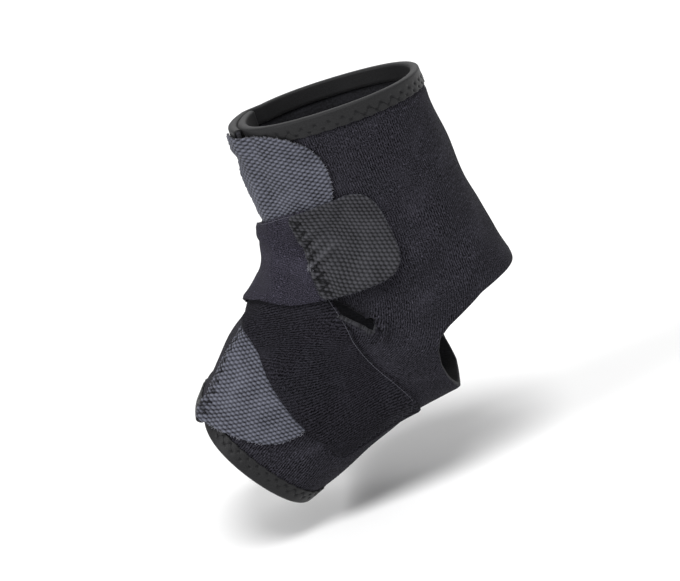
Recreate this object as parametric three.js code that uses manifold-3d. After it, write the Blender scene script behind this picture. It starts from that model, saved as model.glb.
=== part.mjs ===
// Wrap-around ankle brace for a left foot, modelled in the shape it takes when worn.
//
// Frame, in millimetres: +Z runs up the leg, the toes point along -Y, and +X is the outer side of
// the ankle. The origin is the centre of the ankle joint that the brace closes around.
//
// The brace is drawn on a form: a tube of ten rings that runs down the leg, turns at the heel and
// ends across the foot. A place on the form is (station, angle): station 0 is the top rim, station 9
// the foot opening, and the angle is 0 on the shin, +90 on the outer side, 180 at the back and sole.
// Every piece is a patch of that form, raised by the pieces that lie under it.

import * as THREE from 'three';
import { mergeVertices } from 'three/addons/utils/BufferGeometryUtils.js';
import Module from 'manifold-3d';

const wasm = await Module();
wasm.setup();

// Reach of the form from the ankle centre
const LEG_RISE = 90;
const FOOT_DROP = 84;
const TOE_REACH = 102;
const HEEL_REACH = 54;
const HALF_WIDTH = 41;

// Padded fabric wall, and the same wall pressed thin inside the edge tapes
const WALL = 3;
const EDGE_WALL = 2;
const PRESSED_BAND = 7.5;
const PRESSED_BLEND = 3;
const LAYER_GAP = 0.5;

// Edge tapes that wrap the top rim and the foot opening
const TAPE_THICK = 1;
const TAPE_REACH = 7;
const TAPE_GAP = 0.3;

// Front closure: the outer wing lies under, the inner flap over it
const WING_START_ANGLE = -24;
const FLAP_END_ANGLE = 25;
const FLAP_RAMP_ANGLE = 22;
const RAMP_LEAD_ANGLE = 5;
const FLAP_FALL = 17;

// Crossed straps and their grip tabs
const STRAP_WIDTH = 43;
const STRAP_THICK = 2;
const STRAP_LENGTH = 143.5;
const STRAP_TAB_LENGTH = 37;
const STRAP_TAB_LAP = 7;
const TAB_THICK = 1.4;
const FRONT_TAB_WIDTH = 50;
const FRONT_TAB_LENGTH = 50;
const COVER_MARGIN = 4;
const COVER_FALL = 14;

// Grid of the faceted solids
const AROUND_CELLS = 46;
const ALONG_CELLS = 26;
const STRAP_STEP = 5;
const STRAP_CELLS = 8;
const STRAP_CROWD = 1.3;

// Rings of the form. Reaches are shares of TOE_REACH forward and of HEEL_REACH backward,
// heights are shares of LEG_RISE above the origin and of FOOT_DROP below it,
// and the half width and the bow towards the toes are shares of HALF_WIDTH.
const RINGS = [
  { front: 0.425, frontUp: 1.0, back: -0.67, backUp: 1.0, half: 0.88, square: 0.02, egg: 0.05, bow: 0 },
  { front: 0.43, frontUp: 0.71, back: -0.72, backUp: 0.69, half: 0.83, square: 0.02, egg: 0.05, bow: 0 },
  { front: 0.415, frontUp: 0.485, back: -0.78, backUp: 0.38, half: 0.8, square: 0.02, egg: 0.05, bow: 0 },
  { front: 0.445, frontUp: 0.285, back: -0.89, backUp: 0.09, half: 0.85, square: 0.02, egg: 0.06, bow: 0 },
  { front: 0.51, frontUp: 0.14, back: -1.0, backUp: -0.21, half: 0.88, square: 0.02, egg: 0.1, bow: 0 },
  { front: 0.595, frontUp: 0.055, back: -0.85, backUp: -0.57, half: 0.86, square: 0.03, egg: 0.1, bow: 0 },
  { front: 0.69, frontUp: -0.035, back: -0.165, backUp: -0.67, half: 0.86, square: 0.04, egg: 0.05, bow: -0.02 },
  { front: 0.805, frontUp: -0.155, back: 0.175, backUp: -0.745, half: 0.9, square: 0.05, egg: 0, bow: -0.04 },
  { front: 0.905, frontUp: -0.29, back: 0.435, backUp: -0.885, half: 0.95, square: 0.05, egg: 0, bow: 0.04 },
  { front: 1.0, frontUp: -0.43, back: 0.665, backUp: -1.0, half: 1.0, square: 0.05, egg: 0, bow: 0.07 },
];
const LAST = RINGS.length - 1;

// Centre line of a strap, from its sewn end under the arch, over the instep, to the tab on the leg
const STRAP_ROUTE = [
  { station: 7.15, angle: 137 },
  { station: 6.68, angle: 98 },
  { station: 5.95, angle: 71 },
  { station: 5.13, angle: 50 },
  { station: 4.37, angle: 30 },
  { station: 3.45, angle: 0 },
  { station: 2.92, angle: -30 },
  { station: 2.65, angle: -55 },
  { station: 2.45, angle: -77 },
  { station: 2.2, angle: -104 },
  { station: 2.02, angle: -130 },
];

// Centre lines of the two front tabs, from the sewn straight side to the round end
const UPPER_TAB_ROUTE = [
  { station: 1.02, angle: 4 },
  { station: 1.06, angle: 40 },
  { station: 1.17, angle: 80 },
  { station: 1.24, angle: 110 },
];
const LOWER_TAB_ROUTE = [
  { station: 7.37, angle: 22 },
  { station: 7.15, angle: 58 },
  { station: 7.03, angle: 98 },
  { station: 6.93, angle: 126 },
];

// Side-view outlines of the two cut-outs: reach is a share of TOE_REACH forward and HEEL_REACH
// backward, height a share of LEG_RISE up and FOOT_DROP down.
const HEEL_CUT = [
  { reach: -1.06, up: -0.075 },
  { reach: -0.68, up: -0.135 },
  { reach: -0.34, up: -0.25 },
  { reach: -0.24, up: -0.295 },
  { reach: -0.195, up: -0.36 },
  { reach: -0.18, up: -0.45 },
  { reach: -0.2, up: -0.54 },
  { reach: -0.25, up: -0.64 },
  { reach: -0.25, up: -0.95 },
  { reach: -1.5, up: -0.95 },
  { reach: -1.5, up: -0.075 },
];
const NOTCH_CUT = [
  { reach: 0.085, up: -0.17 },
  { reach: 0.115, up: -0.165 },
  { reach: 0.31, up: 0.045 },
  { reach: 0.64, up: 0.13 },
  { reach: 0.85, up: 0.42 },
  { reach: 0.56, up: 0.28 },
  { reach: 0.31, up: 0.085 },
  { reach: 0.11, up: -0.115 },
  { reach: 0.085, up: -0.12 },
  { reach: 0.065, up: -0.145 },
];

const radians = Math.PI / 180;
const clamp = (value, low, high) => Math.min(Math.max(value, low), high);
const smooth = (value) => {
  const t = clamp(value, 0, 1);
  return t * t * (3 - 2 * t);
};
const reachToY = (share) => -share * (share > 0 ? TOE_REACH : HEEL_REACH);
const riseToZ = (share) => share * (share > 0 ? LEG_RISE : FOOT_DROP);

// The form

const ringRows = RINGS.map((ring) => [
  reachToY(ring.front), riseToZ(ring.frontUp), reachToY(ring.back), riseToZ(ring.backUp),
  ring.half * HALF_WIDTH, ring.square, ring.egg, ring.bow * HALF_WIDTH,
]);

// One value at parameter t of a smooth curve through rows of numbers
function through(rows, at, column) {
  const last = rows.length - 1;
  const i = clamp(Math.floor(at), 0, last - 1);
  const t = at - i;
  const b = rows[i][column];
  const c = rows[i + 1][column];
  const a = i > 0 ? rows[i - 1][column] : 2 * b - c;
  const d = i + 2 <= last ? rows[i + 2][column] : 2 * c - b;
  return 0.5 * (2 * b + (c - a) * t + (2 * a - 5 * b + 4 * c - d) * t * t
    + (3 * b - a - 3 * c + d) * t * t * t);
}

// Point of the bare form
function formPoint(station, angle) {
  const at = clamp(station, 0, LAST);
  const [frontY, frontZ, backY, backZ, half, square, egg, bow] = ringRows[0]
    .map((_, column) => through(ringRows, at, column));
  const turn = angle * radians;
  const c = (Math.cos(turn) - square * Math.cos(3 * turn)) / (1 - square);
  const s = (Math.sin(turn) + square * Math.sin(3 * turn)) / (1 - square);
  const halfY = (backY - frontY) / 2;
  const halfZ = (backZ - frontZ) / 2;
  const size = Math.hypot(halfY, halfZ);
  const push = bow * Math.sin(turn) ** 2 / size;
  return new THREE.Vector3(
    half * s * (1 + egg * Math.cos(turn)),
    (frontY + backY) / 2 - halfY * c + halfZ * push,
    (frontZ + backZ) / 2 - halfZ * c - halfY * push,
  );
}

// Tangents per station and per degree, and the outward normal
function formFrame(station, angle) {
  const step = 0.004;
  const low = clamp(station - step, 0, LAST);
  const high = clamp(station + step, 0, LAST);
  const along = formPoint(high, angle).sub(formPoint(low, angle)).divideScalar(high - low);
  const around = formPoint(station, angle + 0.2).sub(formPoint(station, angle - 0.2)).divideScalar(0.4);
  const normal = along.clone().cross(around).normalize();
  return { point: formPoint(station, angle), along, around, normal };
}

// Point at a height above the form; a station before 0 or past the last runs on in a straight line
function raised(place, height, past = 0) {
  const { point, along, normal } = formFrame(place.station, place.angle);
  return point.addScaledVector(normal, height).addScaledVector(along.normalize(), past);
}

// Length along the tube at one angle, from the top rim to each sampled station
const RUN_SAMPLES = 72;
const runTables = new Map();
function runTable(angle) {
  const key = angle.toFixed(3);
  if (!runTables.has(key)) {
    const table = [0];
    let before = formPoint(0, angle);
    for (let i = 1; i <= RUN_SAMPLES; i += 1) {
      const here = formPoint((LAST * i) / RUN_SAMPLES, angle);
      table.push(table[i - 1] + here.distanceTo(before));
      before = here;
    }
    runTables.set(key, table);
  }
  return runTables.get(key);
}

function runAt(station, angle) {
  const table = runTable(angle);
  const at = clamp(station, 0, LAST) * RUN_SAMPLES / LAST;
  const i = clamp(Math.floor(at), 0, RUN_SAMPLES - 1);
  return table[i] + (table[i + 1] - table[i]) * (at - i);
}

function stationAtRun(run, angle) {
  const table = runTable(angle);
  let i = 0;
  while (i < RUN_SAMPLES - 1 && table[i + 1] < run) i += 1;
  return LAST * (i + (run - table[i]) / (table[i + 1] - table[i])) / RUN_SAMPLES;
}

const wholeRun = (angle) => runTable(angle)[RUN_SAMPLES];
const fromRims = (station, angle) => {
  const run = runAt(station, angle);
  return Math.min(run, wholeRun(angle) - run);
};

// Walk over the form from a place, in a direction, for a length
function walk(place, direction, length, strides = 6) {
  let { station, angle } = place;
  const heading = direction.clone().normalize();
  const stride = length / strides;
  for (let i = 0; i < strides; i += 1) {
    const { along, around, normal } = formFrame(station, angle);
    heading.addScaledVector(normal, -heading.dot(normal)).normalize();
    const aa = along.dot(along);
    const ab = along.dot(around);
    const bb = around.dot(around);
    const a = heading.dot(along);
    const b = heading.dot(around);
    const det = aa * bb - ab * ab;
    station = clamp(station + stride * (a * bb - b * ab) / det, 0, LAST);
    angle += stride * (b * aa - a * ab) / det;
  }
  return { station, angle };
}

// A route over the form: distance along it and distance to its side give a place
function makeRoute(stops, side) {
  const rows = stops.map((stop) => [stop.station, stop.angle * side]);
  const placeAt = (t) => ({ station: through(rows, t, 0), angle: through(rows, t, 1) });
  const samples = (stops.length - 1) * 12;
  const lengths = [0];
  for (let i = 1; i <= samples; i += 1) {
    const a = placeAt((i - 1) / 12);
    const b = placeAt(i / 12);
    const gone = formPoint(a.station, a.angle).distanceTo(formPoint(b.station, b.angle));
    lengths.push(lengths[i - 1] + gone);
  }
  const parameterAt = (length) => {
    let i = 0;
    while (i < samples - 1 && lengths[i + 1] < length) i += 1;
    return (i + (length - lengths[i]) / (lengths[i + 1] - lengths[i])) / 12;
  };
  return (length, aside) => {
    const t = parameterAt(length);
    const place = placeAt(t);
    const before = placeAt(t - 0.02);
    const after = placeAt(t + 0.02);
    const ahead = formPoint(after.station, after.angle).sub(formPoint(before.station, before.angle));
    const { normal } = formFrame(place.station, place.angle);
    const sideways = normal.clone().cross(ahead).multiplyScalar(Math.sign(aside) || 1);
    return Math.abs(aside) < 1e-6 ? place : walk(place, sideways, Math.abs(aside));
  };
}

// Layers

// How far the closing flap stands above the wing that it covers
const BINDING_OVER_WALL = EDGE_WALL / 2 + TAPE_GAP + TAPE_THICK - WALL / 2;
const nearRim = (station, angle) => 1
  - smooth((fromRims(station, angle) - TAPE_REACH - 2) / (PRESSED_BAND + PRESSED_BLEND));
const flapOffset = (station, angle) => WALL + LAYER_GAP
  + 2 * Math.max(BINDING_OVER_WALL, 0) * nearRim(station, angle);

// Rise of the sleeve itself; its angle runs on past 360 where the flap covers the wing
const overlapStart = 360 + WING_START_ANGLE - 3;
const sleeveRise = (station, angle) => flapOffset(station, angle - 360)
  * smooth((angle - overlapStart + FLAP_RAMP_ANGLE) / FLAP_RAMP_ANGLE);

// Rise of the top of the sleeve at an angle between -180 and 180, flap included; the pieces on top
// start up the ramp a little before the sleeve does
function baseRise(station, angle) {
  if (angle <= FLAP_END_ANGLE) return sleeveRise(station, angle + 360 + RAMP_LEAD_ANGLE);
  const edge = formPoint(station, FLAP_END_ANGLE);
  const away = formPoint(station, angle).distanceTo(edge);
  return flapOffset(station, angle) * (1 - smooth((away - COVER_MARGIN) / FLAP_FALL));
}

// Pieces already laid on the sleeve, each with its outline and thickness
const laid = [];

function insideOutline(outline, place) {
  let inside = false;
  for (let i = 0, j = outline.length - 1; i < outline.length; j = i, i += 1) {
    const a = outline[i];
    const b = outline[j];
    const crosses = (a.angle > place.angle) !== (b.angle > place.angle);
    if (crosses) {
      const t = (place.angle - a.angle) / (b.angle - a.angle);
      if (place.station < a.station + t * (b.station - a.station)) inside = !inside;
    }
  }
  return inside;
}

function coverOf(piece, place) {
  if (insideOutline(piece.outline, place)) return 1;
  const point = formPoint(place.station, place.angle);
  const line = new THREE.Line3();
  const near = new THREE.Vector3();
  let away = Infinity;
  piece.edge.forEach((corner, i) => {
    line.set(corner, piece.edge[(i + 1) % piece.edge.length]);
    away = Math.min(away, line.closestPointToPoint(point, true, near).distanceTo(point));
  });
  return 1 - smooth((away - COVER_MARGIN) / COVER_FALL);
}

// Height of the underside of a new piece above the form
function undersideAt(place) {
  const { station, angle } = place;
  let height = WALL + LAYER_GAP + baseRise(station, angle);
  height += Math.max(BINDING_OVER_WALL, 0) * nearRim(station, angle);
  laid.forEach((piece) => {
    height += (piece.thick + LAYER_GAP) * coverOf(piece, place);
  });
  return height;
}

function lay(outline, thick) {
  const edge = outline.map((place) => formPoint(place.station, place.angle));
  laid.push({ outline, edge, thick });
}

// Solids

const group = new THREE.Group();

function addPiece(name, geometry, color, roughness) {
  const mesh = new THREE.Mesh(geometry, new THREE.MeshStandardMaterial({ color, roughness, metalness: 0 }));
  mesh.name = name;
  group.add(mesh);
}

function geometryFrom(points, triangles) {
  const geometry = new THREE.BufferGeometry();
  geometry.setAttribute('position', new THREE.Float32BufferAttribute(
    points.flatMap((point) => [point.x, point.y, point.z]), 3));
  geometry.setIndex(triangles);
  return geometry;
}

// Closed sheet from two equal grids of points, outside and inside
function gridSheet(outer, inner) {
  const rows = outer.length;
  const columns = outer[0].length;
  const points = [...outer.flat(), ...inner.flat()];
  const top = (i, j) => i * columns + j;
  const bottom = (i, j) => rows * columns + i * columns + j;
  const triangles = [];
  const quad = (a, b, c, d) => triangles.push(a, b, c, a, c, d);
  for (let i = 0; i < rows - 1; i += 1) {
    for (let j = 0; j < columns - 1; j += 1) {
      quad(top(i, j), top(i + 1, j), top(i + 1, j + 1), top(i, j + 1));
      quad(bottom(i, j), bottom(i, j + 1), bottom(i + 1, j + 1), bottom(i + 1, j));
    }
  }
  for (let i = 0; i < rows - 1; i += 1) {
    quad(top(i + 1, 0), top(i, 0), bottom(i, 0), bottom(i + 1, 0));
    quad(top(i, columns - 1), top(i + 1, columns - 1), bottom(i + 1, columns - 1), bottom(i, columns - 1));
  }
  for (let j = 0; j < columns - 1; j += 1) {
    quad(top(0, j), top(0, j + 1), bottom(0, j + 1), bottom(0, j));
    quad(top(rows - 1, j + 1), top(rows - 1, j), bottom(rows - 1, j), bottom(rows - 1, j + 1));
  }
  return geometryFrom(points, triangles);
}

// Closed sheet inside an outline, built in rings about a middle place
function discSheet(outlineRings, middle, thick) {
  const count = outlineRings[0].length;
  const places = [...outlineRings.flat(), middle];
  const heights = places.map(undersideAt);
  const inner = places.map((place, k) => raised(place, heights[k]));
  const outer = places.map((place, k) => raised(place, heights[k] + thick));
  const total = places.length;
  const at = (ring, k) => ring * count + ((k + count) % count);
  const triangles = [];
  const face = (a, b, c) => {
    triangles.push(a, b, c);
    triangles.push(total + a, total + c, total + b);
  };
  outlineRings.forEach((_, ring) => {
    for (let k = 0; k < count; k += 1) {
      if (ring === outlineRings.length - 1) {
        face(at(ring, k), at(ring, k + 1), total - 1);
      } else {
        face(at(ring, k), at(ring, k + 1), at(ring + 1, k));
        face(at(ring, k + 1), at(ring + 1, k + 1), at(ring + 1, k));
      }
    }
  });
  for (let k = 0; k < count; k += 1) {
    const a = at(0, k);
    const b = at(0, k + 1);
    triangles.push(b, a, total + a);
    triangles.push(b, total + a, total + b);
  }
  return geometryFrom([...outer, ...inner], triangles);
}

function outward(geometry) {
  const position = geometry.getAttribute('position');
  const index = geometry.getIndex();
  const corner = (k) => new THREE.Vector3().fromBufferAttribute(position, index.getX(k));
  let volume = 0;
  for (let k = 0; k < index.count; k += 3) {
    volume += corner(k).dot(corner(k + 1).cross(corner(k + 2)));
  }
  if (volume < 0) {
    for (let k = 0; k < index.count; k += 3) {
      const kept = index.getX(k + 1);
      index.setX(k + 1, index.getX(k + 2));
      index.setX(k + 2, kept);
    }
  }
  return geometry;
}

function toSolid(geometry) {
  const bare = geometry.clone();
  bare.deleteAttribute('normal');
  bare.deleteAttribute('uv');
  const merged = outward(mergeVertices(bare, 1e-4));
  return new wasm.Manifold(new wasm.Mesh({
    numProp: 3,
    vertProperties: new Float32Array(merged.getAttribute('position').array),
    triVerts: new Uint32Array(merged.getIndex().array),
  }));
}

function fromSolid(solid) {
  const mesh = solid.getMesh();
  const geometry = new THREE.BufferGeometry();
  geometry.setAttribute('position', new THREE.BufferAttribute(new Float32Array(mesh.vertProperties), 3));
  geometry.setIndex(new THREE.BufferAttribute(new Uint32Array(mesh.triVerts), 1));
  return geometry;
}

// Side-view outline pushed across the whole width
function sideCutter(outline) {
  const shape = new THREE.Shape(outline.map((stop) => new THREE.Vector2(
    -reachToY(stop.reach), riseToZ(stop.up))));
  const width = 4 * HALF_WIDTH;
  const geometry = new THREE.ExtrudeGeometry(shape, { depth: width, bevelEnabled: false, steps: 1 });
  geometry.translate(0, 0, -width / 2);
  const placed = new THREE.Matrix4().makeBasis(
    new THREE.Vector3(0, -1, 0), new THREE.Vector3(0, 0, 1), new THREE.Vector3(-1, 0, 0));
  return toSolid(geometry.applyMatrix4(placed));
}

// Sleeve

// Angles of the sleeve columns, from the wing's edge round the back to the flap's edge
const columnAngles = Array.from({ length: AROUND_CELLS + 1 }, (_, i) => WING_START_ANGLE
  + (360 + FLAP_END_ANGLE - WING_START_ANGLE) * i / AROUND_CELLS);

// Stations of the rows at one angle: close together inside the edge tapes, even between them
function rowStations(angle) {
  const whole = wholeRun(angle);
  const band = PRESSED_BAND + PRESSED_BLEND;
  const first = stationAtRun(band, angle);
  const last = stationAtRun(whole - band, angle);
  return [
    0,
    stationAtRun(PRESSED_BAND, angle),
    ...Array.from({ length: ALONG_CELLS + 1 }, (_, i) => first + (last - first) * i / ALONG_CELLS),
    stationAtRun(whole - PRESSED_BAND, angle),
    LAST,
  ];
}

function wallAt(station, angle) {
  const t = smooth((fromRims(station, angle) - PRESSED_BAND) / PRESSED_BLEND);
  return EDGE_WALL + (WALL - EDGE_WALL) * t;
}

function sleeveGeometry() {
  const stationsByColumn = columnAngles.map((angle) => rowStations(angle));
  const surface = (side) => stationsByColumn[0].map((_, row) => columnAngles.map((angle, column) => {
    const station = stationsByColumn[column][row];
    const height = sleeveRise(station, angle) + WALL / 2 + side * wallAt(station, angle) / 2;
    return raised({ station, angle }, height);
  }));
  return gridSheet(surface(1), surface(-1));
}

const sleeve = toSolid(sleeveGeometry())
  .subtract(sideCutter(HEEL_CUT))
  .subtract(sideCutter(NOTCH_CUT));
addPiece('sleeve', fromSolid(sleeve), 0x25242a, 0.95);

// Edge tapes

// Tape section about the wall's edge: inset from the edge, and side of the wall's middle
function tapeGeometry(atTop) {
  const reachOut = TAPE_GAP + TAPE_THICK;
  const near = EDGE_WALL / 2 + TAPE_GAP;
  const far = near + TAPE_THICK;
  const section = [
    { inset: TAPE_REACH, side: far },
    { inset: -reachOut * 0.35, side: far },
    { inset: -reachOut, side: far * 0.45 },
    { inset: -reachOut, side: -far * 0.45 },
    { inset: -reachOut * 0.35, side: -far },
    { inset: TAPE_REACH, side: -far },
    { inset: TAPE_REACH, side: -near },
    { inset: -TAPE_GAP, side: -near },
    { inset: -TAPE_GAP, side: near },
    { inset: TAPE_REACH, side: near },
  ];
  const endStation = atTop ? 0 : LAST;
  const points = columnAngles.flatMap((angle) => section.map(({ inset, side }) => {
    const run = atTop ? Math.max(inset, 0) : wholeRun(angle) - Math.max(inset, 0);
    const station = inset > 0 ? stationAtRun(run, angle) : endStation;
    const past = Math.max(-inset, 0) * (atTop ? -1 : 1);
    return raised({ station, angle }, sleeveRise(endStation, angle) + WALL / 2 + side, past);
  }));
  const count = section.length;
  const triangles = [];
  for (let i = 0; i < AROUND_CELLS; i += 1) {
    for (let k = 0; k < count; k += 1) {
      const a = i * count + k;
      const b = i * count + ((k + 1) % count);
      triangles.push(a, b, b + count, a, b + count, a + count);
    }
  }
  const flat = THREE.ShapeUtils.triangulateShape(
    section.map(({ inset, side }) => new THREE.Vector2(inset, side)), []);
  const lastRing = AROUND_CELLS * count;
  const turned = THREE.ShapeUtils.isClockWise(
    section.map(({ inset, side }) => new THREE.Vector2(inset, side)));
  flat.forEach(([a, b, c]) => {
    const [p, q] = turned ? [c, b] : [b, c];
    triangles.push(a, q, p);
    triangles.push(lastRing + a, lastRing + p, lastRing + q);
  });
  return outward(geometryFrom(points, triangles));
}

addPiece('rim_binding', tapeGeometry(true), 0x29292b, 0.85);
addPiece('foot_binding', tapeGeometry(false), 0x2f2f35, 0.85);

// Grip tabs

const TAB_OUTLINE_POINTS = 26;
const TAB_RINGS = [1, 0.78, 0.54, 0.28];

// Rounded tab along a route: "start" is its straight side, "blunt" how square its far end is
function addTab(name, route, start, length, width, blunt, color) {
  const half = width / 2;
  const middle = start + length * 0.46;
  const edge = [];
  for (let k = 0; k < TAB_OUTLINE_POINTS; k += 1) {
    const turn = 2 * Math.PI * (k + 0.5) / TAB_OUTLINE_POINTS;
    const c = Math.cos(turn);
    const s = Math.sin(turn);
    const power = c > 0 ? blunt : 9;
    const size = (Math.abs(c) ** power + Math.abs(s) ** power) ** (-1 / power);
    const reach = c > 0 ? start + length - middle : middle - start;
    edge.push({ ahead: c * size * reach, aside: s * size * half });
  }
  const rings = TAB_RINGS.map((share) => edge.map(({ ahead, aside }) => route(
    middle + ahead * share, aside * share)));
  addPiece(name, outward(discSheet(rings, route(middle, 0), TAB_THICK)), color, 0.9);
  lay(rings[0], TAB_THICK);
}

addTab('upper_hook_tab', makeRoute(UPPER_TAB_ROUTE, 1), 0, FRONT_TAB_LENGTH, FRONT_TAB_WIDTH, 2.2, 0x53535c);
addTab('lower_hook_tab', makeRoute(LOWER_TAB_ROUTE, 1), 0, FRONT_TAB_LENGTH, FRONT_TAB_WIDTH, 2.2, 0x5a5d69);

// Crossed straps

// Rows crowd towards the sewn end, where the strap bends round the edge of the sole
function addStrap(name, route, color) {
  const steps = Math.max(2, Math.round(STRAP_LENGTH / STRAP_STEP));
  const places = Array.from({ length: steps + 1 }, (_, i) => Array.from({ length: STRAP_CELLS + 1 },
    (__, j) => route(STRAP_LENGTH * (i / steps) ** STRAP_CROWD, STRAP_WIDTH * (j / STRAP_CELLS - 0.5))));
  const heights = places.map((row) => row.map(undersideAt));
  const surface = (lift) => places.map((row, i) => row.map((place, j) => raised(place, heights[i][j] + lift)));
  addPiece(name, outward(gridSheet(surface(STRAP_THICK), surface(0))), color, 0.95);
  const outline = [
    ...places.map((row) => row[0]),
    ...places[steps].slice(1, STRAP_CELLS),
    ...places.map((row) => row[STRAP_CELLS]).reverse(),
    ...places[0].slice(1, STRAP_CELLS).reverse(),
  ];
  lay(outline, STRAP_THICK);
}

const outerRoute = makeRoute(STRAP_ROUTE, 1);
const innerRoute = makeRoute(STRAP_ROUTE, -1);
const tabStart = STRAP_LENGTH - STRAP_TAB_LAP;

addStrap('outer_strap', outerRoute, 0x25242a);
addTab('outer_strap_tab', outerRoute, tabStart, STRAP_TAB_LENGTH, STRAP_WIDTH, 3.4, 0x3f3f44);
addStrap('inner_strap', innerRoute, 0x312f38);
addTab('inner_strap_tab', innerRoute, tabStart, STRAP_TAB_LENGTH, STRAP_WIDTH, 3.4, 0x3f3f44);

export default group;
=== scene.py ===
"""Wrap-around ankle brace, made for the left side, in the shape it takes when worn.

+Z runs up to the top rim, the foot opening faces -Y and +X is the outer side. Sizes are in
millimetres and become metres when a mesh is made. Every piece is a patch of one form: a place on
it is a station along the tube (0 at the top rim, 9 at the foot opening) and an angle round it
(0 at the front, 90 on the outer side, 180 at the back and below).
"""
import math

import bpy
import numpy as np
from mathutils import Matrix, Vector


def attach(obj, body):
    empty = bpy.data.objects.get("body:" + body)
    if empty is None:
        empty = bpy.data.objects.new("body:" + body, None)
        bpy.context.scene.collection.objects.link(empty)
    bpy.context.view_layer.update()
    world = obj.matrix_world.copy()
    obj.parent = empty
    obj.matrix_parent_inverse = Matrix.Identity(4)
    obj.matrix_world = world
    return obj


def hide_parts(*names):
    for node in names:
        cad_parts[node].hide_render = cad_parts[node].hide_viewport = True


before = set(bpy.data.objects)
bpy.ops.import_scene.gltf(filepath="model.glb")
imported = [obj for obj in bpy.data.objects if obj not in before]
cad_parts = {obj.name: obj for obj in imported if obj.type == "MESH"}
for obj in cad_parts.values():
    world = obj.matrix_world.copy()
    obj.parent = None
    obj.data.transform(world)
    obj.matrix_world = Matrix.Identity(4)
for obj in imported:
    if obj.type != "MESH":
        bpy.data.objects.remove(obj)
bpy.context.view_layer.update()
MM = 0.001

# Sizes

LEG_RISE = 90.0
FOOT_DROP = 84.0
TOE_REACH = 102.0
HEEL_REACH = 54.0
HALF_WIDTH = 41.0

WALL = 3.0
EDGE_WALL = 2.0
PRESSED_BAND = 7.5
PRESSED_BLEND = 3.0
LAYER_GAP = 0.3

TAPE_THICK = 1.0
TAPE_REACH = 7.0
TAPE_GAP = 0.1

WING_START = -24.0
FLAP_END = 25.0
RAMP = 15.0

STRAP_WIDTH = 43.0
STRAP_THICK = 2.0
STRAP_LENGTH = 143.5
STRAP_TAB_LENGTH = 37.0
STRAP_TAB_LAP = 7.0
TAB_THICK = 1.4
FRONT_TAB = 50.0

# Rings of the form: front reach and height, back reach and height, half width, squareness,
# egg shape and bow, as shares of the sizes above.
RINGS = np.array([
    (0.425, 1.0, -0.67, 1.0, 0.88, 0.02, 0.05, 0),
    (0.43, 0.71, -0.72, 0.69, 0.83, 0.02, 0.05, 0),
    (0.415, 0.485, -0.78, 0.38, 0.8, 0.02, 0.05, 0),
    (0.445, 0.285, -0.89, 0.09, 0.85, 0.02, 0.06, 0),
    (0.51, 0.14, -1.0, -0.21, 0.88, 0.02, 0.1, 0),
    (0.595, 0.055, -0.85, -0.57, 0.86, 0.03, 0.1, 0),
    (0.69, -0.035, -0.165, -0.67, 0.86, 0.04, 0.05, -0.02),
    (0.805, -0.155, 0.175, -0.745, 0.9, 0.05, 0, -0.04),
    (0.905, -0.29, 0.435, -0.885, 0.95, 0.05, 0, 0.04),
    (1.0, -0.43, 0.665, -1.0, 1.0, 0.05, 0, 0.07),
])
LAST = len(RINGS) - 1

# Middle lines of the straps and front tabs, as stations and angles
STRAP_ROUTE = [
    (7.15, 137), (6.68, 98), (5.95, 71), (5.13, 50), (4.37, 30), (3.45, 0),
    (2.92, -30), (2.65, -55), (2.45, -77), (2.2, -104), (2.02, -130),
]
UPPER_TAB_ROUTE = [(1.02, 4), (1.06, 40), (1.17, 80), (1.24, 110)]
LOWER_TAB_ROUTE = [(7.37, 22), (7.15, 58), (7.03, 98), (6.93, 126)]

# Openings in the side view, as shares of the reaches and rises above
HEEL_CUT = [
    (-1.06, -0.075), (-0.68, -0.135), (-0.34, -0.25), (-0.24, -0.295), (-0.195, -0.36),
    (-0.18, -0.45), (-0.2, -0.54), (-0.25, -0.64), (-0.25, -0.95), (-1.5, -0.95), (-1.5, -0.075),
]
NOTCH_CUT = [
    (0.14, -0.132), (0.31, 0.052), (0.64, 0.13), (0.85, 0.42), (0.56, 0.33), (0.31, 0.115),
    (0.2, -0.016), (0.142, -0.094), (0.13, -0.106), (0.124, -0.122),
]


# The form

def reach_to_y(share):
    """Place along y, from a share of the reach ahead or behind."""
    return -share * np.where(share > 0, TOE_REACH, HEEL_REACH)


def rise_to_z(share):
    """Place along z, from a share of the rise above or the drop below."""
    return share * np.where(share > 0, LEG_RISE, FOOT_DROP)


def smooth(value):
    t = np.clip(value, 0, 1)
    return t * t * (3 - 2 * t)


def hill(value):
    """A soft hill, 1 in its middle and gone by about 2."""
    return np.exp(-value * value)


def through(rows, at):
    """Smooth curve through rows of numbers, at an array of parameters."""
    rows = np.asarray(rows, float)
    last = len(rows) - 1
    i = np.clip(np.floor(at).astype(int), 0, last - 1)
    t = (at - i)[..., None]
    b, c = rows[i], rows[i + 1]
    a = np.where((i > 0)[..., None], rows[np.maximum(i - 1, 0)], 2 * b - c)
    d = np.where((i + 2 <= last)[..., None], rows[np.minimum(i + 2, last)], 2 * c - b)
    bend = (2 * a - 5 * b + 4 * c - d) * t ** 2 + (3 * b - a - 3 * c + d) * t ** 3
    return 0.5 * (2 * b + (c - a) * t + bend)


RING_ROWS = np.stack([
    reach_to_y(RINGS[:, 0]), rise_to_z(RINGS[:, 1]), reach_to_y(RINGS[:, 2]), rise_to_z(RINGS[:, 3]),
    RINGS[:, 4] * HALF_WIDTH, RINGS[:, 5], RINGS[:, 6], RINGS[:, 7] * HALF_WIDTH,
], 1)


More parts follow.
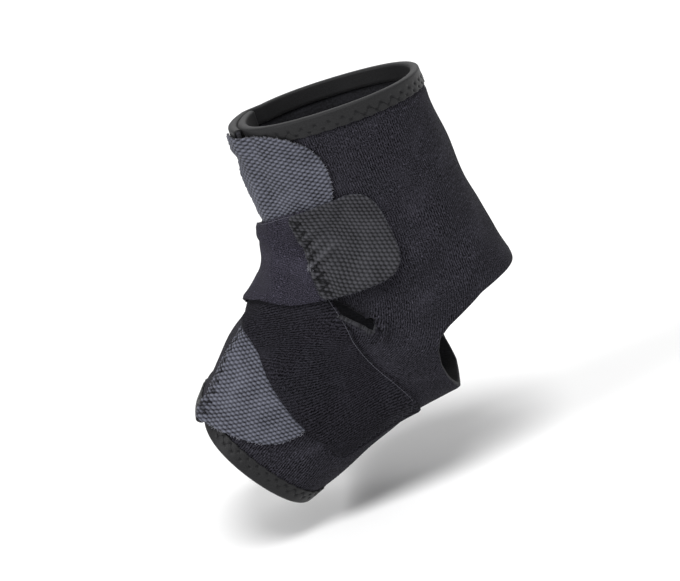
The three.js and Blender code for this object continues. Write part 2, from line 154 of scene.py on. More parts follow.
def form_point(station, angle):
    """Points of the form at a station and an angle."""
    at = np.clip(np.asarray(station, float), 0, LAST)
    rows = through(RING_ROWS, at)
    front_y, front_z, back_y, back_z, half, square, egg, bow = np.moveaxis(rows, -1, 0)
    turn = np.radians(angle)
    c = (np.cos(turn) - square * np.cos(3 * turn)) / (1 - square)
    s = (np.sin(turn) + square * np.sin(3 * turn)) / (1 - square)
    half_y = (back_y - front_y) / 2
    half_z = (back_z - front_z) / 2
    push = -bow * np.sin(turn) ** 2 / np.hypot(half_y, half_z)
    return np.stack([
        half * s * (1 + egg * np.cos(turn)),
        (front_y + back_y) / 2 - half_y * c - half_z * push,
        (front_z + back_z) / 2 - half_z * c + half_y * push,
    ], -1)


def unit(vectors):
    return vectors / np.maximum(np.linalg.norm(vectors, axis=-1, keepdims=True), 1e-9)


def form_frame(station, angle):
    """Points, tangents per station and per degree, and outward normals."""
    station = np.clip(np.asarray(station, float), 0, LAST)
    low = np.clip(station - 0.004, 0, LAST)
    high = np.clip(station + 0.004, 0, LAST)
    along = (form_point(high, angle) - form_point(low, angle)) / (high - low)[..., None]
    around = (form_point(station, angle + 0.2) - form_point(station, angle - 0.2)) / 0.4
    return form_point(station, angle), along, around, unit(np.cross(along, around))


def raised(station, angle, height, past=0.0):
    """Points at a height over the form, pushed past a place along the tube."""
    point, along, _, normal = form_frame(station, angle)
    return point + normal * np.asarray(height)[..., None] + unit(along) * np.asarray(past)[..., None]


def away_from_segment(points, a, b):
    """Distance of each point from a segment, and the share of the segment nearest to it."""
    span = b - a
    t = np.clip(((points - a) @ span) / max(span @ span, 1e-9), 0, 1)
    return np.linalg.norm(points - a - t[..., None] * span, axis=-1), t


def away_from_line(points, line, closed=False):
    """Distance of each point from a line of corners."""
    away = np.full(points.shape[:-1], np.inf)
    for a, b in zip(line if closed else line[:-1], np.roll(line, -1, axis=0)):
        away = np.minimum(away, away_from_segment(points, a, b)[0])
    return away


# Lengths over the form, kept in tables

TABLE_STEPS = 72
TABLE_DEGREES = 3
TABLE_STATIONS = np.linspace(0, LAST, TABLE_STEPS + 1)
RUN_ANGLES = np.arange(-180, 181, TABLE_DEGREES)
GIRTH_ANGLES = np.arange(-60, 421, TABLE_DEGREES)
OUTER_SIDE = np.flatnonzero(GIRTH_ANGLES == 90)


def lengths_along(points):
    """Length gone from the start of each row of points."""
    gone = np.linalg.norm(np.diff(points, axis=1), axis=-1)
    return np.concatenate([np.zeros((len(points), 1)), np.cumsum(gone, axis=1)], 1)


RUN_TABLE = lengths_along(form_point(TABLE_STATIONS[None, :], RUN_ANGLES[:, None]))
GIRTH_TABLE = lengths_along(form_point(TABLE_STATIONS[:, None], GIRTH_ANGLES[None, :]))
GIRTH_TABLE -= GIRTH_TABLE[:, OUTER_SIDE]


def between_rows(table, row, column):
    """Value of a table at a place between its rows and columns."""
    i = np.clip(np.floor(row).astype(int), 0, table.shape[0] - 2)
    j = np.clip(np.floor(column).astype(int), 0, table.shape[1] - 2)
    f = row - i
    g = column - j
    first = table[i, j] * (1 - g) + table[i, j + 1] * g
    second = table[i + 1, j] * (1 - g) + table[i + 1, j + 1] * g
    return first * (1 - f) + second * f


def table_row(station):
    return np.clip(station, 0, LAST) * TABLE_STEPS / LAST


def run_at(station, angle):
    """Length along the tube from the top rim."""
    return between_rows(RUN_TABLE, np.mod(angle + 180, 360) / TABLE_DEGREES, table_row(station))


def girth_at(station, angle):
    """Length round the tube from its outer side."""
    return between_rows(GIRTH_TABLE, table_row(station), (angle - GIRTH_ANGLES[0]) / TABLE_DEGREES)


def from_rims(station, angle):
    """Length along the tube from the nearer rim."""
    run = run_at(station, angle)
    return np.minimum(run, run_at(np.full_like(run, LAST), angle) - run)


def station_at_run(run, angle):
    """Inverse of run_at, by a few steps of halving."""
    low = np.zeros_like(run)
    high = np.full_like(run, float(LAST))
    for _ in range(22):
        middle = (low + high) / 2
        short = run_at(middle, angle) < run
        low = np.where(short, middle, low)
        high = np.where(short, high, middle)
    return (low + high) / 2


def walk(station, angle, direction, length, strides=8):
    """Walks over the form from each place, in each direction, for each length."""
    station = station.copy()
    angle = angle.copy()
    heading = unit(direction)
    stride = length / strides
    for _ in range(strides):
        _, along, around, normal = form_frame(station, angle)
        heading = unit(heading - normal * (heading * normal).sum(-1)[..., None])
        aa = (along * along).sum(-1)
        ab = (along * around).sum(-1)
        bb = (around * around).sum(-1)
        a = (heading * along).sum(-1)
        b = (heading * around).sum(-1)
        det = aa * bb - ab * ab
        station = np.clip(station + stride * (a * bb - b * ab) / det, 0, LAST)
        angle = angle + stride * (b * aa - a * ab) / det
    return station, angle


class Route:
    """A line over the form. Lengths ahead along it and aside of it give places."""

    def __init__(self, stops, side=1):
        self.side = side
        self.rows = np.array([(station, angle * side) for station, angle in stops], float)
        self.t = np.linspace(0, len(stops) - 1, 600)
        places = through(self.rows, self.t)
        points = form_point(places[:, 0], places[:, 1])
        self.gone = lengths_along(points[None])[0]

    def place(self, ahead, aside):
        ahead, aside = np.broadcast_arrays(np.asarray(ahead, float), np.asarray(aside, float))
        t = np.interp(ahead, self.gone, self.t)
        before = through(self.rows, t - 0.03)
        after = through(self.rows, t + 0.03)
        here = through(self.rows, t)
        forward = form_point(after[..., 0], after[..., 1])
        forward -= form_point(before[..., 0], before[..., 1])
        _, _, _, normal = form_frame(here[..., 0], here[..., 1])
        sideways = self.side * np.cross(normal, forward) * np.where(aside < 0, -1, 1)[..., None]
        return walk(here[..., 0], here[..., 1], sideways, np.abs(aside))


# Layers

BINDING_RISE = EDGE_WALL / 2 + TAPE_GAP + TAPE_THICK - WALL / 2
LAPPED_FROM = 360 + WING_START - 2


def near_rim(station, angle):
    """1 where a tape lies, 0 away from the rims."""
    return 1 - smooth((from_rims(station, angle) - TAPE_REACH - 1) / (PRESSED_BAND - 2))


def flap_offset(station, angle):
    """Height of the flap over the wing."""
    return WALL + LAYER_GAP + 2 * BINDING_RISE * near_rim(station, angle)


def sleeve_rise(station, angle):
    """Rise of the sleeve over the form; its angle runs on past 360 where the flap laps the wing."""
    return flap_offset(station, angle) * smooth((angle - LAPPED_FROM + RAMP) / RAMP)


def base_rise(station, angle):
    """Rise of the top of the sleeve at angles between -180 and 180."""
    lapped = sleeve_rise(station, angle + 360)
    edge = form_point(station, np.full_like(angle, FLAP_END))
    away = np.linalg.norm(form_point(station, angle) - edge, axis=-1)
    beyond = flap_offset(station, angle) * (1 - smooth((away - 0.5) / 9))
    return np.where(angle <= FLAP_END, lapped, beyond)


LAID = []
LAID_CORNERS = 110


def inside_outline(outline, station, angle):
    """Whether each place lies inside a closed outline of stations and angles."""
    inside = np.zeros(station.shape, bool)
    ends = np.roll(outline, 1, axis=0)
    for (s1, a1), (s2, a2) in zip(outline, ends):
        crosses = (a1 > angle) != (a2 > angle)
        if a1 == a2:
            continue
        t = (angle - a1) / (a2 - a1)
        inside ^= crosses & (station < s1 + t * (s2 - s1))
    return inside


def lay(outline, thick, fall):
    """Records a piece that later pieces have to climb over."""
    outline = outline[::max(1, len(outline) // LAID_CORNERS)]
    LAID.append((outline, form_point(outline[:, 0], outline[:, 1]), thick, fall))


def underside(station, angle):
    """Height over the form of whatever is laid next."""
    height = WALL + LAYER_GAP + base_rise(station, angle) + swell(station, angle)
    height += BINDING_RISE * near_rim(station, angle)
    point = form_point(station, angle)
    for outline, edge, thick, fall in LAID:
        away = away_from_line(point, edge, closed=True)
        inside = inside_outline(outline, station, angle)
        cover = np.where(inside, 1.0, 1 - smooth((away - 0.4) / fall))
        height = height + (thick + LAYER_GAP) * cover
    return height


# Meshes

EDGE_TURNS = (-0.6, 0.0, 0.6)
PLAIN_TONE = 0.35


def cut_grid(us, vs, keep):
    """Faces of a grid where keep(u, v) is positive; cells on its zero line are cut along it."""
    grid_u, grid_v = np.meshgrid(us, vs, indexing="ij")
    value = keep(grid_u, grid_v)
    columns = value.shape[1]
    inside = value > 0
    points_u = list(grid_u.ravel())
    points_v = list(grid_v.ravel())
    flat_value = value.ravel()
    made = {}
    faces = []

    def crossing(a, b):
        key = (min(a, b), max(a, b))
        if key not in made:
            t = flat_value[a] / (flat_value[a] - flat_value[b])
            t = min(max(t, 0.02), 0.98)
            made[key] = len(points_u)
            points_u.append(points_u[a] + t * (points_u[b] - points_u[a]))
            points_v.append(points_v[a] + t * (points_v[b] - points_v[a]))
        return made[key]

    corners_in = inside[:-1, :-1].astype(int) + inside[1:, :-1] + inside[1:, 1:] + inside[:-1, 1:]
    for i, j in zip(*np.nonzero(corners_in)):
        here = i * columns + j
        ring = (here, here + columns, here + columns + 1, here + 1)
        if corners_in[i, j] == 4:
            faces.append(ring)
            continue
        face = []
        for a, b in zip(ring, ring[1:] + ring[:1]):
            if flat_value[a] > 0:
                face.append(a)
            if (flat_value[a] > 0) != (flat_value[b] > 0):
                face.append(crossing(a, b))
        faces.append(tuple(face))
    used = sorted({k for face in faces for k in face})
    number = {k: n for n, k in enumerate(used)}
    faces = [tuple(number[k] for k in face) for face in faces]
    return np.array(points_u)[used], np.array(points_v)[used], faces


def rim_loops(faces):
    """Boundary edges of the faces, head to tail, as the faces run them."""
    seen = dict.fromkeys((a, b) for face in faces for a, b in zip(face, face[1:] + face[:1]))
    after = {a: b for a, b in seen if (b, a) not in seen}
    loops = []
    while after:
        start, here = next(iter(after.items()))
        del after[start]
        loop = [start]
        while here != start:
            loop.append(here)
            here = after.pop(here)
        loops.append(loop)
    return loops


def shell(name, top, bottom, faces, uv, bulge, materials, tone=None, flip=False):
    """Closed cloth body from a top and a bottom layer with the same faces, and a rounded edge."""
    if flip:
        faces = [tuple(reversed(face)) for face in faces]
    count = len(top)
    points = [top, bottom]
    polygons = [tuple(face) for face in faces]
    polygons += [tuple(count + k for k in reversed(face)) for face in faces]
    slots = [0] * len(faces) + [1] * len(faces)
    uvs = [uv, uv]
    total = 2 * count
    for loop in rim_loops(polygons[:len(faces)]):
        n = len(loop)
        ids = np.array(loop)
        a, b = top[ids], bottom[ids]
        thick = a - b
        ahead = unit(np.roll(a, -1, axis=0) - np.roll(a, 1, axis=0))
        out = unit(np.cross(ahead, thick))
        rows = [ids]
        full = np.linalg.norm(thick, axis=1, keepdims=True) * bulge
        for turn in EDGE_TURNS:
            middle = (a + b) / 2 - thick / 2 * math.sin(turn * 1.8)
            points.append(middle + out * full * math.cos(turn * 1.5))
            uvs.append(uv[ids])
            rows.append(np.arange(total, total + n))
            total += n
        rows.append(ids + count)
        for upper, lower in zip(rows, rows[1:]):
            for k in range(n):
                m = (k + 1) % n
                polygons.append((upper[m], upper[k], lower[k], lower[m]))
                slots.append(2)
    points = np.concatenate(points)
    tones = np.full(len(points), PLAIN_TONE)
    if tone is not None:
        tones[:count] = tone
    return cloth_body(name, points, polygons, np.concatenate(uvs), materials, slots, tones)


def cloth_body(name, points, polygons, uv, materials, slots=None, tones=None, flip=False):
    """Mesh object with its own cloth map in metres and a tone per point."""
    if flip:
        polygons = [tuple(reversed(face)) for face in polygons]
    mesh = bpy.data.meshes.new(name)
    polygons = [tuple(int(k) for k in face) for face in polygons]
    mesh.from_pydata((points * MM).tolist(), [], polygons)
    layer = mesh.uv_layers.new(name="cloth")
    corners = np.empty(len(mesh.loops), int)
    mesh.loops.foreach_get("vertex_index", corners)
    layer.data.foreach_set("uv", (uv[corners] * MM).ravel())
    if tones is not None:
        attribute = mesh.attributes.new("tone", "FLOAT", "POINT")
        attribute.data.foreach_set("value", tones.astype(np.float32))
    for material in materials:
        mesh.materials.append(material)
    if slots is not None:
        indexes = [min(k, len(materials) - 1) for k in slots]
        mesh.polygons.foreach_set("material_index", indexes)
    mesh.shade_smooth()
    mesh.update()
    body = bpy.data.objects.new(name, mesh)
    bpy.context.scene.collection.objects.link(body)
    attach(body, "root")
    return body


def side_line(shares):
    """Corners in the side view, from shares of the reaches and rises."""
    return np.array([(0, reach_to_y(np.float64(a)), rise_to_z(np.float64(b))) for a, b in shares])


def signed_side(outline):
    """Signed distance in the side view from an outline, positive outside it."""
    corners = side_line(outline)[:, 1:]

    def measure(points):
        y, z = points[..., 1], points[..., 2]
        inside = np.zeros(y.shape, bool)
        away = np.full(y.shape, np.inf)
        for (y1, z1), (y2, z2) in zip(corners, np.roll(corners, -1, axis=0)):
            dy, dz = y2 - y1, z2 - z1
            t = np.clip(((y - y1) * dy + (z - z1) * dz) / (dy * dy + dz * dz), 0, 1)
            away = np.minimum(away, np.hypot(y - y1 - t * dy, z - z1 - t * dz))
            if dz:
                inside ^= ((z1 > z) != (z2 > z)) & (y < y1 + (z - z1) / dz * dy)
        return np.where(inside, -away, away)

    return measure


# Materials

def to_linear(color):
    return [((c / 255 + 0.055) / 1.055) ** 2.4 if c > 10 else c / 255 / 12.92 for c in color]


class Cloth:
    """A fabric material on a piece's own cloth map, with nodes added one after the other."""

    def __init__(self, name, roughness, sheen, specular):
        self.material = bpy.data.materials.new(name)
        self.material.use_nodes = True
        self.nodes = self.material.node_tree.nodes
        self.links = self.material.node_tree.links
        self.shader = self.nodes["Principled BSDF"]
        finish = {"Roughness": roughness, "Specular IOR Level": specular,
                  "Sheen Weight": sheen, "Sheen Roughness": 0.5}
        for name, value in finish.items():
            self.shader.inputs[name].default_value = value
        cloth_map = self.add("UVMap")
        cloth_map.uv_map = "cloth"
        self.place = cloth_map.outputs["UV"]

    def fill(self, socket, value):
        """Links another node's socket to this one, or sets a number on it."""
        if isinstance(value, bpy.types.NodeSocket):
            self.links.new(value, socket)
        else:
            socket.default_value = value

    def add(self, kind, **values):
        node = self.nodes.new("ShaderNode" + kind)
        for name, value in values.items():
            self.fill(node.inputs[name.replace("_", " ")], value)
        return node

    def pattern(self, kind, stretch, turn, **values):
        """A texture on the cloth map, stretched and turned."""
        mapped = self.add("Mapping", Scale=(*stretch, 1), Rotation=(0, 0, turn), Vector=self.place)
        return self.add(kind, Vector=mapped.outputs["Vector"], **values).outputs["Fac"]

    def noise(self, stretch, detail=3.0, roughness=0.55, distortion=0.0, turn=0.0):
        return self.pattern("TexNoise", stretch, turn, Scale=1.0, Detail=detail, Roughness=roughness,
                            Distortion=distortion)

    def ribs(self, pitch, turn, wander):
        """Even ribs across the first map axis, pitch in millimetres, between 0.35 and 0.65."""
        scale = 2 * math.pi / 20 / (pitch * MM)
        wave = self.pattern("TexWave", (1, 1), turn, Scale=scale, Distortion=wander, Detail=1.0,
                            Detail_Scale=1.2)
        return self.spread(wave, 0.0, 1.0, 0.35, 0.65)

    def spread(self, value, low, high, to_low=0.0, to_high=1.0):
        node = self.add("MapRange", From_Min=low, From_Max=high, To_Min=to_low, To_Max=to_high, Value=value)
        return node.outputs["Result"]

    def math(self, kind, a, b):
        node = self.add("Math")
        node.operation = kind
        self.fill(node.inputs[0], a)
        self.fill(node.inputs[1], b)
        return node.outputs["Value"]

    def mix(self, factor, first, second):
        node = self.add("Mix")
        node.data_type = "RGBA"
        self.links.new(factor, node.inputs["Factor"])
        for name, color in (("A", first), ("B", second)):
            value = (*to_linear(color), 1) if isinstance(color, tuple) else color
            self.fill(node.inputs[name], value)
        return node.outputs["Result"]

    def tone(self):
        node = self.add("Attribute")
        node.attribute_name = "tone"
        return node.outputs["Fac"]

    def color(self, socket):
        self.links.new(socket, self.shader.inputs["Base Color"])

    def bump(self, height, distance):
        node = self.add("Bump", Distance=distance * MM, Strength=1.0, Height=height)
        self.links.new(node.outputs["Normal"], self.shader.inputs["Normal"])


RIB_PITCH = 1.05
RIB_WANDER = 2.2
RIB_SHARE = 0.45


def loop_cloth(name, dark, light, rib, rib_share, turn, rib_turn, depth, fleck):
    """Brushed loop pile: rows of loops, broken up by nap, with a few pale fibres. rib is the size
    of the rows' noise along both map axes, in millimetres."""
    cloth = Cloth(name, 0.95, 0.02, 0.04)
    rows = cloth.noise((1000 / rib[0], 1000 / rib[1]), 1.0, 0.5, 0.3, turn)
    even = cloth.math("MULTIPLY", cloth.ribs(RIB_PITCH, rib_turn, RIB_WANDER), RIB_SHARE)
    rows = cloth.math("ADD", cloth.math("MULTIPLY", rows, 1 - RIB_SHARE), even)
    nap = cloth.noise((1000 / 0.34, 1000 / 0.42), 1.0, 0.6, 0.2, 0.35)
    patch = cloth.noise((45, 38), 2.0)
    share = cloth.spread(patch, 0.35, 0.65, rib_share - 0.25, rib_share + 0.25)
    nap = cloth.math("MULTIPLY", nap, cloth.math("SUBTRACT", 1.0, share))
    pile = cloth.math("ADD", cloth.math("MULTIPLY", rows, share), nap)
    cloth.bump(pile, depth)
    wear = cloth.noise((70, 60), 3.0, 0.6, 0.5)
    body = cloth.mix(cloth.spread(pile, 0.435, 0.585), dark, light)
    pale = tuple(min(255, int(c * 1.5)) for c in light)
    flecks = cloth.spread(cloth.noise((1500, 900), 1.0), 0.64, 0.74, 0.0, fleck)
    body = cloth.mix(flecks, body, pale)
    body = cloth.mix(cloth.spread(wear, 0.5, 0.8, 0.0, 0.16), body, pale)
    cloth.color(body)
    return cloth.material


def grip_weave(name, gap_shade_color, lit_knot_color):
    """Coarse woven grip tape: pale knots, dark gaps between them, fine strands in both. The dark gaps are
    painted shade, and the pale knot tops are the yarn's own grey with painted light on them.
    """
    cloth = Cloth(name, 0.8, 0.05, 0.15)
    strand = cloth.noise((2600, 1300), 2.0, 0.6)
    patch = cloth.noise((110, 90), 3.0)
    tone = cloth.math("ADD", cloth.tone(), cloth.spread(strand, 0.3, 0.7, -0.2, 0.2))
    tone = cloth.math("ADD", tone, cloth.spread(patch, 0.3, 0.7, -0.14, 0.14))
    # colour runs with the tone from painted shade in the gaps to painted light on the knot tops
    cloth.color(cloth.mix(cloth.spread(tone, 0.0, 1.3), gap_shade_color, lit_knot_color))
    cloth.bump(strand, 0.12)
    return cloth.material


def smooth_knit(name, dark, light, pitch, depth, roughness=0.85, specular=0.12):
    """Fine even knit or foam, with slow patches of wear."""
    cloth = Cloth(name, roughness, 0.05, specular)
    knit = cloth.noise((1000 / pitch, 1000 / pitch), 2.0, 0.5)
    cloth.bump(knit, depth)
    patch = cloth.noise((60, 60), 3.0)
    body = cloth.mix(cloth.spread(knit, 0.35, 0.65), dark, light)
    pale = tuple(min(255, int(c * 1.25)) for c in light)
    cloth.color(cloth.mix(cloth.spread(patch, 0.5, 0.8, 0.0, 0.4), body, pale))
    return cloth.material


def plain_material(name, base, roughness, specular):
    material = bpy.data.materials.new(name)
    material.use_nodes = True
    shader = material.node_tree.nodes["Principled BSDF"]
    shader.inputs["Base Color"].default_value = (*base, 1)
    shader.inputs["Roughness"].default_value = roughness
    shader.inputs["Specular IOR Level"].default_value = specular
    return material


def thread_material(name, color, roughness=0.7):
    return plain_material(name, to_linear(color), roughness, 0.15)


LOOP_CLOTH = loop_cloth("black loop cloth", (2, 2, 3), (56, 55, 62), (0.36, 1.3),
                        0.6, 0.0, 0.0, 0.35, 0.7)
# The top strap's colours are paler than the lower strap's, partly its own brushed cloth and partly painted
# light on it
STRAP_CLOTH = loop_cloth("black strap cloth", (2, 2, 3), (43, 42, 48), (1.2, 0.36),
                         0.7, 0.3, 1.27, 0.25, 0.5)
LIT_TOP_STRAP_CLOTH = loop_cloth("brushed strap cloth with painted light", (7, 6, 9), (62, 60, 71), (0.42, 0.6),
                             0.3, 0.0, 0.6, 0.25, 0.7)
LINING = smooth_knit("smooth lining", (16, 16, 18), (34, 34, 38), 0.9, 0.15)
FOAM_EDGE = smooth_knit("cut foam edge", (26, 26, 28), (58, 58, 62), 0.6, 0.25, 0.95)
TAPE = smooth_knit("edge tape", (14, 14, 15), (29, 29, 31), 0.5, 0.08, 0.55, 0.25)
# Grip weaves: the first colour is painted shade for the gaps, the second the yarn with painted light on the
# knot tops
GREY_GRIP = grip_weave("grey grip weave", (19, 19, 23), (113, 115, 128))
DARK_GRIP = grip_weave("dark grip weave", (10, 10, 12), (74, 74, 79))
GRIP_EDGE = grip_weave("cut grip edge", (22, 22, 25), (94, 95, 103))
DARK_THREAD = thread_material("black thread", (24, 24, 27))
TAPE_THREAD = thread_material("tape thread", (26, 26, 28))
GREY_THREAD = thread_material("grey thread", (96, 96, 104))
PALE_FIBRE = thread_material("pale fibre", (116, 116, 124), 0.8)
DARK_FIBRE = thread_material("dark fibre", (44, 44, 50), 0.8)


# Stitches

def make_stitch():
    """One short thread, one unit long and wide, lying along its own z."""
    bpy.ops.object.select_all(action="DESELECT")
    bpy.ops.mesh.primitive_cylinder_add(vertices=8, radius=0.5, depth=0.72, end_fill_type="NGON")
    stitch = bpy.context.object
    stitch.name = "stitch"
    bpy.ops.object.mode_set(mode="EDIT")
    bpy.ops.mesh.select_all(action="DESELECT")
    bpy.ops.object.mode_set(mode="OBJECT")
    for face in stitch.data.polygons:
        face.select = abs(face.normal.z) > 0.9
    bpy.ops.object.mode_set(mode="EDIT")
    bpy.ops.mesh.select_mode(type="FACE")
    bpy.ops.mesh.inset(thickness=0.16, depth=0.1, use_individual=True)
    bpy.ops.mesh.inset(thickness=0.2, depth=0.04, use_individual=True)
    bpy.ops.object.mode_set(mode="OBJECT")
    bpy.ops.object.shade_smooth()
    return stitch


def sew(name, spans, width, material):
    """A seam: a copy of the stitch for each span of two points and a normal, joined to one piece."""
    model = make_stitch()
    copies = []
    for start, end, normal in spans:
        run = end - start
        length = np.linalg.norm(run)
        along = run / length
        across = np.cross(normal, along)
        across /= np.linalg.norm(across)
        rise = np.cross(along, across)
        middle = (start + end) / 2
        place = Matrix(np.stack([
            np.append(across * width * MM, 0), np.append(rise * width * 0.7 * MM, 0),
            np.append(along * (length + width * 0.5) * MM, 0), np.append(middle * MM, 1),
        ], 1).tolist())
        mesh = model.data.copy()
        mesh.transform(place)
        copy = bpy.data.objects.new(name, mesh)
        bpy.context.scene.collection.objects.link(copy)
        copies.append(copy)
    bpy.data.objects.remove(model)
    bpy.ops.object.select_all(action="DESELECT")
    for copy in copies:
        copy.select_set(True)
    bpy.context.view_layer.objects.active = copies[0]
    bpy.ops.object.join()
    seam = bpy.context.object
    seam.name = name
    seam.data.materials.append(material)
    bpy.ops.object.select_all(action="DESELECT")
    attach(seam, "root")


def thread_spans(points, normals):
    """Spans of one thread that runs from point to point."""
    leans = (normals[:-1] + normals[1:]) / 2
    return list(zip(points[:-1], points[1:], leans))


CHANCE = np.random.default_rng(7)


def fray(name, edge, normals, per_mm, length, width, material):
    """Loose fibre ends along a closed edge of points, pointing out of it at chance angles."""
    ahead = unit(np.roll(edge, -1, axis=0) - np.roll(edge, 1, axis=0))
    out = unit(np.cross(ahead, normals))
    middle = edge.mean(axis=0)
    out *= np.sign(((edge - middle) * out).sum(-1).mean())
    steps = np.linalg.norm(np.roll(edge, -1, axis=0) - edge, axis=1)
    gone = np.concatenate([[0], np.cumsum(steps)])
    spans = []
    for place in CHANCE.uniform(0, gone[-1], int(gone[-1] * per_mm)):
        k = int(np.searchsorted(gone, place, side="right")) - 1
        share = (place - gone[k]) / steps[k]
        root = edge[k] + (edge[(k + 1) % len(edge)] - edge[k]) * share
        lean = CHANCE.normal(0, 0.7)
        rise = CHANCE.normal(0.1, 0.35)
        reach = CHANCE.uniform(0.35, 1.0)
        way = unit(out[k] + ahead[k] * lean + normals[k] * rise)
        spans.append((root - way * 0.3, root + way * length * reach, normals[k]))
    sew(name, spans, width, material)


# Padded sleeve

# Soft folds of the sleeve: where each starts and ends as station and angle, half its width and
# its height in shares of the wall.
FOLDS = [
    ((3.3, 93), (2.7, 122), 1.7, 0.55),
    ((3.75, 96), (3.2, 120), 1.8, -0.35),
    ((4.15, 97), (3.8, 120), 1.7, 0.45),
    ((4.6, 98), (4.35, 116), 1.5, -0.2),
    ((0.2, 92), (1.3, 100), 2.0, 0.22),
    ((0.5, 100), (1.6, 108), 2.6, 0.2),
    ((0.6, 122), (2.0, 134), 3.2, 0.16),
    ((5.2, 92), (4.75, 107), 1.7, 0.28),
    ((5.8, 98), (5.4, 113), 1.7, 0.2),
    ((8.1, 92), (8.35, 118), 1.4, 0.25),
    ((7.75, 104), (8.1, 132), 1.6, -0.2),
    ((2.6, 150), (3.1, 168), 3.0, -0.16),
    ((2.6, -60), (3.2, -100), 2.6, 0.3),
    ((4.2, -70), (4.9, -100), 2.4, 0.28),
    ((0.7, -70), (1.8, -110), 3.4, 0.2),
    ((7.6, -60), (8.2, -90), 2.2, 0.25),
]
# Slow unevenness of the whole cloth: wave lengths along x, y and z, phase, and height share
WAVES = [
    (41, 63, 35, 0.4, 0.075),
    (-52, 37, 58, 1.9, 0.06),
    (29, -33, 47, 3.1, 0.045),
    (23, 27, -31, 4.4, 0.035),
]
# The pucker at the end of the notch and the rolled edge above it, in side-view shares
PUCKER_LINE = [
    (0.15, -0.112), (0.125, -0.128), (0.104, -0.112), (0.088, -0.125), (0.092, -0.165), (0.108, -0.2),
]
ROLL_LINE = [(0.155, -0.074), (0.125, -0.062), (0.1, -0.07), (0.082, -0.1), (0.078, -0.14)]
# Cloth below this line belongs to the lower lip of the notch, cloth above it to the upper one
LIP_LINE = [(0.09, -0.165), (0.13, -0.12), (0.31, 0.063), (0.6, 0.2)]
LIP_RISE = 3.2
LIP_REACH = 5.0
TUCK = 6.5
TUCK_REACH = 12.0
# Where the lips start and end and where the tip starts along y, and the outer side along x, each
# with the length that its change takes
LIPS_FROM = (-31.5, 6.0)
LIPS_TO = (-9.0, 5.5)
TIP_FROM = (-14.5, 2.5)
LIP_BLEND = 0.04
TIP_BLEND = 2.2
OUTER_FROM = (8.0, 10.0)
PUCKER_RISE = 2.6
ROLL_RISE = 0.9 * PUCKER_RISE
PUCKER_WIDTH = 1.1
HOLLOW_AT = (-12.5, -7.8)
HOLLOW_DEPTH = 3.2
HOLLOW_WIDTH = 2.2
SIDE_VIEW = np.array([0, 1, 1])


def swell(station, angle):
    """Rise of the cloth by its folds and unevenness."""
    wrapped = np.mod(angle + 180, 360) - 180
    points = form_point(station, wrapped)
    rise = np.zeros(points.shape[:-1])
    for (s1, a1), (s2, a2), width, share in FOLDS:
        a = form_point(np.float64(s1), np.float64(a1))
        b = form_point(np.float64(s2), np.float64(a2))
        away, t = away_from_segment(points, a, b)
        fade = 0.55 + 0.45 * np.sin(math.pi * np.clip(t, 0, 1))
        rise += share * WALL * hill(away / (width * WALL)) * fade
    for x, y, z, phase, share in WAVES:
        turns = points[..., 0] / x + points[..., 1] / y + points[..., 2] / z
        rise += share * WALL * np.sin(2 * math.pi * turns + phase)
    return rise * smooth((from_rims(station, wrapped) - TAPE_REACH) / 8)


heel_side = signed_side(HEEL_CUT)
notch_side = signed_side(NOTCH_CUT)
PUCKER = side_line(PUCKER_LINE)
ROLL = side_line(ROLL_LINE)
LIPS = side_line(LIP_LINE)[::-1]


def notch_lift(points, puckered=True):
    """The lower lip of the notch stands up, the upper one tucks in, and the end is puckered."""
    x, y, z = np.moveaxis(points, -1, 0)
    outer = smooth((x - OUTER_FROM[0]) / OUTER_FROM[1])
    away = np.clip(notch_side(points), 0, None)
    above = z - np.interp(y, LIPS[:, 1], LIPS[:, 2])
    reach = smooth((y - LIPS_FROM[0]) / LIPS_FROM[1]) * smooth((LIPS_TO[0] - y) / LIPS_TO[1])
    lip = LIP_RISE * (1 - np.clip(away / LIP_REACH, 0, 1)) ** 2
    tuck = -TUCK * (1 - np.clip(away / TUCK_REACH, 0, 1)) ** 2
    blend = LIP_BLEND + TIP_BLEND * smooth((y - TIP_FROM[0]) / TIP_FROM[1])
    rise = (tuck + (lip - tuck) * smooth(0.5 - above / blend)) * reach
    if puckered:
        flat = points * SIDE_VIEW
        rise += PUCKER_RISE * hill(away_from_line(flat, PUCKER) / PUCKER_WIDTH)
        rise += ROLL_RISE * hill(away_from_line(flat, ROLL) / PUCKER_WIDTH)
        hollow = np.hypot(y - HOLLOW_AT[0], z - HOLLOW_AT[1])
        rise -= HOLLOW_DEPTH * hill(hollow / HOLLOW_WIDTH)
    return rise * outer


def graded(spans):
    """Values in rising order, from rows of start, end and step."""
    parts = [np.arange(a, b - step * 0.5, step) for a, b, step in spans]
    return np.append(np.concatenate(parts), spans[-1][1])


SLEEVE_ANGLES = graded([(WING_START, 50, 2.1), (50, 94, 0.6), (94, 360 + FLAP_END, 2.1)])
CUT_BAND = 1.6
CUT_PRESS = 0.25
SLEEVE_ROWS = graded([(0, 3.7, 0.075), (3.7, 5.1, 0.022), (5.1, LAST, 0.068)])


def wall_at(station, angle):
    """Thickness of the sleeve, pressed thinner under the tapes."""
    t = smooth((from_rims(station, angle) - PRESSED_BAND) / PRESSED_BLEND)
    return EDGE_WALL + (WALL - EDGE_WALL) * t


